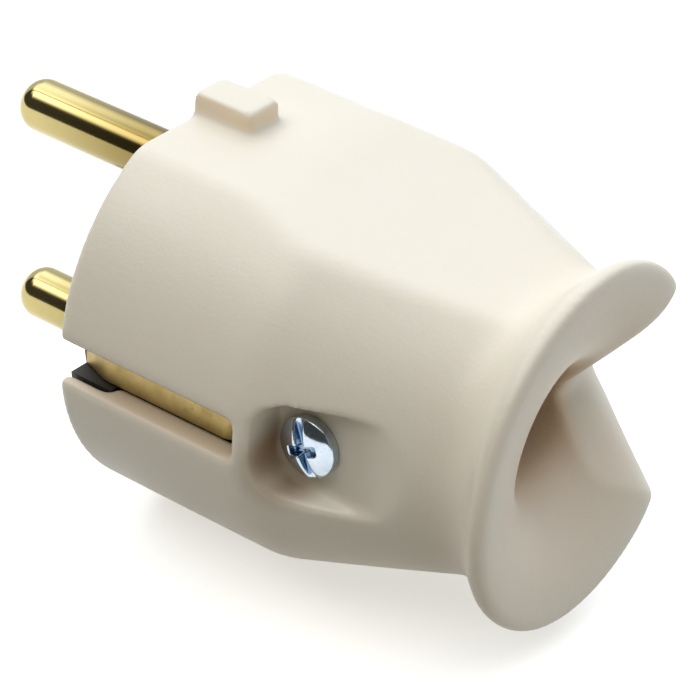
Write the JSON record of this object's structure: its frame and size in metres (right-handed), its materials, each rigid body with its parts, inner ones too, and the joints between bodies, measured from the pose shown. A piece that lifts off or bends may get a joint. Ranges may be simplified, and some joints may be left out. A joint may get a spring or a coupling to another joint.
{
  "type": "type f plug",
  "caption": "Round rewirable mains plug with brass pins, side earth contacts, a screw-held cream housing and a flared, notched pull-grip round the cable entry.",
  "frame": {"origin": "centre of the engagement face, midway between the pins", "axes": "+X back along the plug to the cable end, +Z along the line through both pins, the earth contacts face -Y and +Y and the housing screw is on the -Y side"},
  "size_m": [0.0603, 0.037, 0.0366],
  "materials": {
    "housing_plastic": "fine moulded texture, cream",
    "carrier_plastic": "satin black moulding",
    "pin_brass": "polished",
    "strap_brass": "rolled strip, slightly dull",
    "plated_steel": "bright zinc plate"
  },
  "bodies": {
    "root": {"housing": "housing_plastic", "contact_carrier": "carrier_plastic", "live_pin": "pin_brass", "neutral_pin": "pin_brass", "live_terminal_screw": "plated_steel", "neutral_terminal_screw": "plated_steel", "earth_strap": "strap_brass", "earth_wire_plate": "plated_steel", "earth_terminal_screw": "plated_steel", "housing_screw": "plated_steel", "housing_nut": "plated_steel", "cord_grip_bar": "carrier_plastic", "cord_grip_screws": "plated_steel"}
  },
  "joints": []
}
